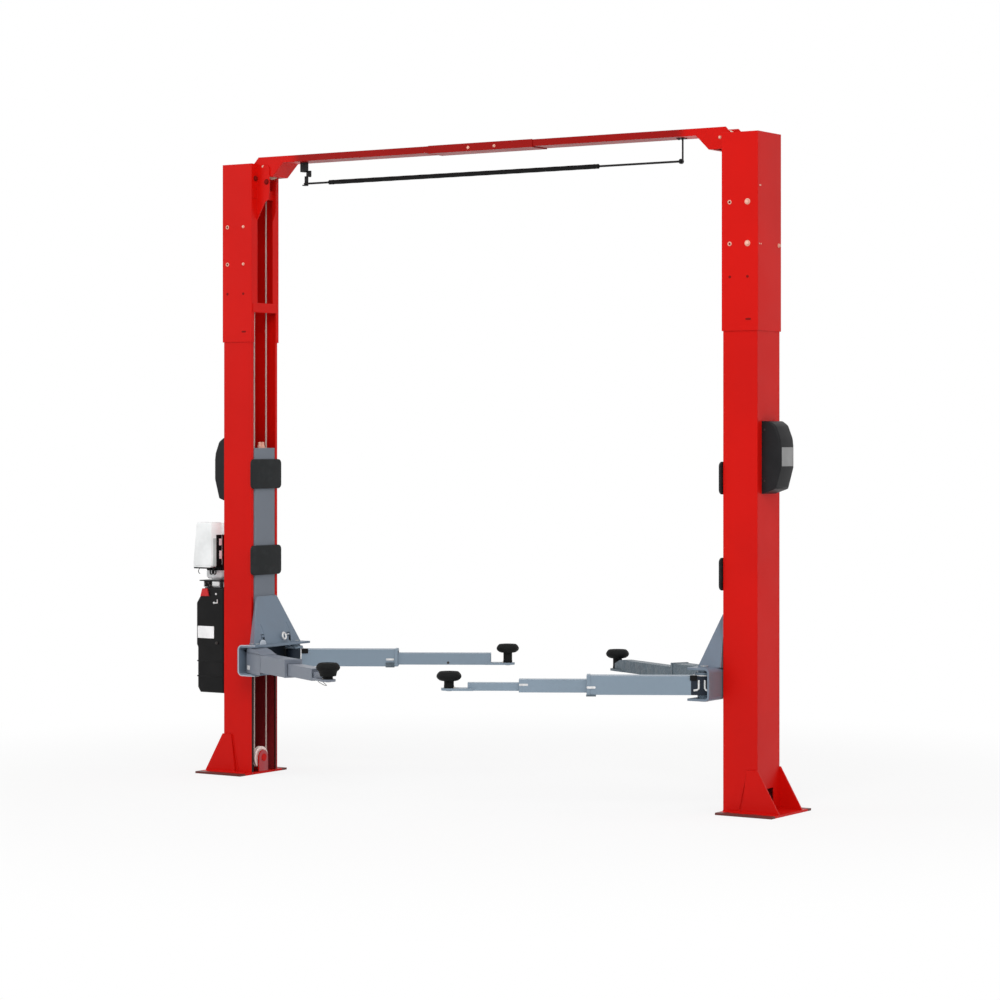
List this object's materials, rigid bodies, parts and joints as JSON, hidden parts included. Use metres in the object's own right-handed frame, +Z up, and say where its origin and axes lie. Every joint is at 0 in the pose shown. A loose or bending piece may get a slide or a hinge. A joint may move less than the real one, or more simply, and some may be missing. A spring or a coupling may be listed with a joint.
{
  "type": "two post car lift",
  "caption": "Red two post car lift with overhead beam, hydraulic power unit, sliding carriages and telescopic swing arms with rubber pads.",
  "frame": {"origin": "on the floor under the axis of the left post, which carries the power unit, at the underside of its base plate", "axes": "+X across the bay to the right post, +Y to the back of the lift, +Z up"},
  "size_m": [3.9475, 1.8633, 3.6403],
  "materials": {
    "red_paint": "glossy powder coat",
    "grey_paint": "satin powder coat",
    "arm_paint": "satin powder coat",
    "bare_steel": "zinc plated",
    "wire_rope": "stranded and greased",
    "cream_plastic": "cast nylon",
    "black_rubber": "moulded rubber",
    "black_plastic": "moulded plastic",
    "white_plastic": "smooth moulded plastic",
    "black_paint": "gloss enamel",
    "cast_metal": "as cast"
  },
  "bodies": {
    "frame": {"left_base": "red_paint", "left_column": "red_paint", "left_extension": "red_paint", "left_beam": "red_paint", "left_cylinder": "black_paint", "left_lock_cover": "black_plastic", "right_base": "red_paint", "right_column": "red_paint", "right_extension": "red_paint", "right_beam": "red_paint", "right_cylinder": "black_paint", "right_lock_cover": "black_plastic", "beam_splice": "red_paint", "equaliser_rope": "wire_rope", "oil_tank": "black_plastic", "pump_block": "cast_metal", "motor": "black_paint", "motor_terminal_box": "white_plastic", "stop_bar_hanger": "black_paint", "stop_switch": "black_plastic"},
    "left_base_sheave": {"left_base_sheave": "cream_plastic"},
    "left_top_sheaves": {"left_top_sheaves": "cream_plastic"},
    "left_carriage": {"left_carriage": "grey_paint", "left_guard_upper": "black_rubber", "left_guard_lower": "black_rubber", "left_cylinder_rod": "bare_steel"},
    "right_base_sheave": {"right_base_sheave": "cream_plastic"},
    "right_top_sheaves": {"right_top_sheaves": "cream_plastic"},
    "right_carriage": {"right_carriage": "grey_paint", "right_guard_upper": "black_rubber", "right_guard_lower": "black_rubber", "right_cylinder_rod": "bare_steel"},
    "stop_bar": {"stop_bar": "black_paint", "stop_bar_sleeve": "black_rubber"},
    "left_front_arm": {"left_front_arm_outer": "arm_paint"},
    "left_front_arm_restraint": {"left_front_arm_restraint": "bare_steel"},
    "left_front_middle": {"left_front_arm_middle": "arm_paint"},
    "left_front_inner": {"left_front_arm_inner": "arm_paint"},
    "left_front_pad": {"left_front_pad": "black_rubber"},
    "left_rear_arm": {"left_rear_arm_outer": "arm_paint"},
    "left_rear_arm_restraint": {"left_rear_arm_restraint": "bare_steel"},
    "left_rear_inner": {"left_rear_arm_inner": "arm_paint"},
    "left_rear_pad": {"left_rear_pad": "black_rubber"},
    "right_front_arm": {"right_front_arm_outer": "arm_paint"},
    "right_front_arm_restraint": {"right_front_arm_restraint": "bare_steel"},
    "right_front_middle": {"right_front_arm_middle": "arm_paint"},
    "right_front_inner": {"right_front_arm_inner": "arm_paint"},
    "right_front_pad": {"right_front_pad": "black_rubber"},
    "right_rear_arm": {"right_rear_arm_outer": "arm_paint"},
    "right_rear_arm_restraint": {"right_rear_arm_restraint": "bare_steel"},
    "right_rear_inner": {"right_rear_arm_inner": "arm_paint"},
    "right_rear_pad": {"right_rear_pad": "black_rubber"}
  },
  "joints": [
    {"name": "left_carriage_lift", "type": "slide", "parent": "frame", "child": "left_carriage", "axis": [0, 0, 1], "range_m": [-0.5, 0.75]},
    {"name": "right_carriage_lift", "type": "slide", "parent": "frame", "child": "right_carriage", "axis": [0, 0, 1], "range_m": [-0.5, 0.75]},
    {"name": "left_base_sheave_spin", "type": "hinge", "parent": "frame", "child": "left_base_sheave", "pos_m": [0.07, 0, 0.094], "axis": [1, 0, 0], "continuous": true},
    {"name": "left_top_sheaves_spin", "type": "hinge", "parent": "frame", "child": "left_top_sheaves", "pos_m": [0.115, 0, 3.5693], "axis": [0, 1, 0], "continuous": true},
    {"name": "right_base_sheave_spin", "type": "hinge", "parent": "frame", "child": "right_base_sheave", "pos_m": [3.296, 0, 0.094], "axis": [1, 0, 0], "continuous": true},
    {"name": "right_top_sheaves_spin", "type": "hinge", "parent": "frame", "child": "right_top_sheaves", "pos_m": [3.251, 0, 3.5693], "axis": [0, 1, 0], "continuous": true},
    {"name": "stop_bar_lift", "type": "hinge", "parent": "frame", "child": "stop_bar", "pos_m": [2.938, 0, 3.475], "axis": [0, 1, 0], "range_deg": [0, 1.2]},
    {"name": "left_front_arm_swing", "type": "hinge", "parent": "left_carriage", "child": "left_front_arm", "pos_m": [0.1825, -0.19, 0.685], "axis": [0, 0, -1], "range_deg": [-28.8, 57.6]},
    {"name": "left_front_restraint_drop", "type": "slide", "parent": "left_carriage", "child": "left_front_arm_restraint", "axis": [0, 0, 1], "range_m": [-0.0135, 0]},
    {"name": "left_front_middle_slide", "type": "slide", "parent": "left_front_arm", "child": "left_front_middle", "axis": [0.8526, -0.5225, 0], "range_m": [-0.36, 0.07]},
    {"name": "left_front_inner_slide", "type": "slide", "parent": "left_front_middle", "child": "left_front_inner", "axis": [0.8526, -0.5225, 0], "range_m": [-0.02, 0.35]},
    {"name": "left_front_pad_turn", "type": "hinge", "parent": "left_front_inner", "child": "left_front_pad", "pos_m": [1.15451, -0.78565, 0.7], "axis": [0, 0, 1], "continuous": true},
    {"name": "left_rear_arm_swing", "type": "hinge", "parent": "left_carriage", "child": "left_rear_arm", "pos_m": [0.1825, 0.19, 0.685], "axis": [0, 0, 1], "range_deg": [-28.8, 57.6]},
    {"name": "left_rear_restraint_drop", "type": "slide", "parent": "left_carriage", "child": "left_rear_arm_restraint", "axis": [0, 0, 1], "range_m": [-0.0135, 0]},
    {"name": "left_rear_inner_slide", "type": "slide", "parent": "left_rear_arm", "child": "left_rear_inner", "axis": [0.8572, 0.515, 0], "range_m": [-0.34, 0.08]},
    {"name": "left_rear_pad_turn", "type": "hinge", "parent": "left_rear_inner", "child": "left_rear_pad", "pos_m": [1.27196, 0.84461, 0.7], "axis": [0, 0, 1], "continuous": true},
    {"name": "right_front_arm_swing", "type": "hinge", "parent": "right_carriage", "child": "right_front_arm", "pos_m": [3.1835, -0.19, 0.685], "axis": [0, 0, 1], "range_deg": [-28.8, 57.6]},
    {"name": "right_front_restraint_drop", "type": "slide", "parent": "right_carriage", "child": "right_front_arm_restraint", "axis": [0, 0, 1], "range_m": [-0.0135, 0]},
    {"name": "right_front_middle_slide", "type": "slide", "parent": "right_front_arm", "child": "right_front_middle", "axis": [-0.8572, -0.515, 0], "range_m": [-0.35, 0.08]},
    {"name": "right_front_inner_slide", "type": "slide", "parent": "right_front_middle", "child": "right_front_inner", "axis": [-0.8572, -0.515, 0], "range_m": [-0.23, 0.13]},
    {"name": "right_front_pad_turn", "type": "hinge", "parent": "right_front_inner", "child": "right_front_pad", "pos_m": [2.02632, -0.8853, 0.7], "axis": [0, 0, 1], "continuous": true},
    {"name": "right_rear_arm_swing", "type": "hinge", "parent": "right_carriage", "child": "right_rear_arm", "pos_m": [3.1835, 0.19, 0.685], "axis": [0, 0, -1], "range_deg": [-28.8, 57.6]},
    {"name": "right_rear_restraint_drop", "type": "slide", "parent": "right_carriage", "child": "right_rear_arm_restraint", "axis": [0, 0, 1], "range_m": [-0.0135, 0]},
    {"name": "right_rear_inner_slide", "type": "slide", "parent": "right_rear_arm", "child": "right_rear_inner", "axis": [-0.8746, 0.4848, 0], "range_m": [-0.37, 0.06]},
    {"name": "right_rear_pad_turn", "type": "hinge", "parent": "right_rear_inner", "child": "right_rear_pad", "pos_m": [2.04649, 0.82025, 0.7], "axis": [0, 0, 1], "continuous": true}
  ],
  "couplings": [
    {"joint": "right_carriage_lift", "follows": "left_carriage_lift", "ratio": 1}
  ]
}
